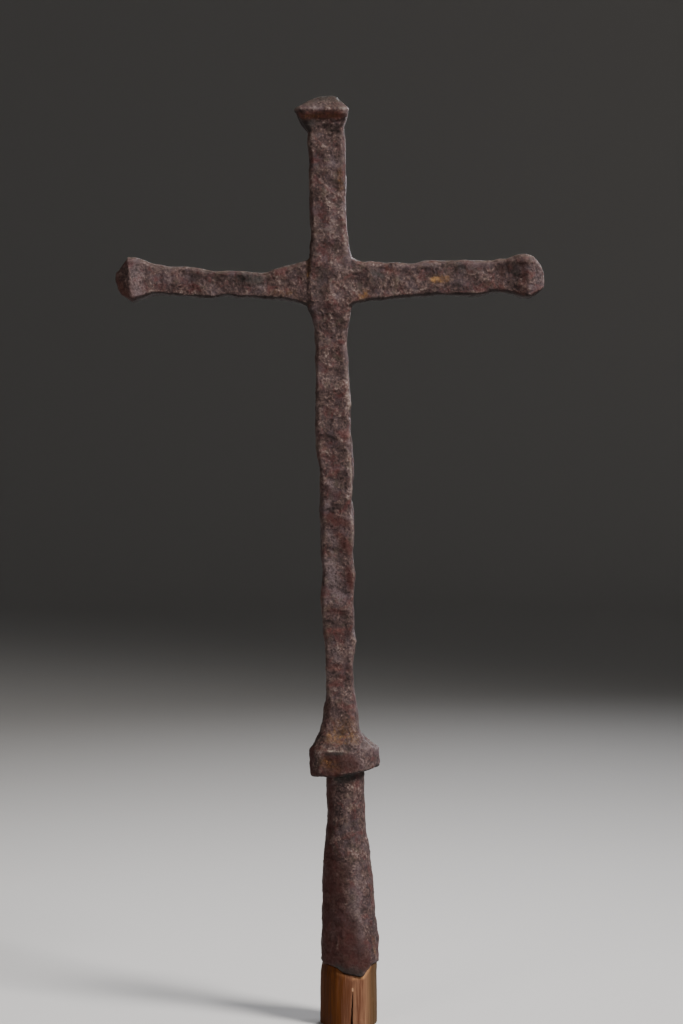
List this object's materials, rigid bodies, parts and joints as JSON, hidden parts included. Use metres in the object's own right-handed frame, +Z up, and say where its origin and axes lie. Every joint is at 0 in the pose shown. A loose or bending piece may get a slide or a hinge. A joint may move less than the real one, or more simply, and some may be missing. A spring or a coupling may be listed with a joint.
{
  "type": "processional cross",
  "caption": "Hand-forged iron processional cross with flared ends, a faceted knop and a tapered hollow socket fitted on the cut-off top of its round wooden pole.",
  "frame": {"origin": "centre of the pole's flat foot, on the surface that it stands on", "axes": "+Z up along the pole, +X towards the right-hand arm, +Y to the back; the front faces -Y"},
  "size_m": [0.2854, 0.0421, 0.6197],
  "materials": {
    "forged_iron": "hand-forged iron, pitted and covered in old reddish brown rust, with a dull purple-grey sheen on the edges",
    "pole_wood": "bare old hardwood, darkened and handled, with a drying crack"
  },
  "bodies": {
    "root": {"iron_cross": "forged_iron", "pole_stub": "pole_wood"}
  },
  "joints": []
}
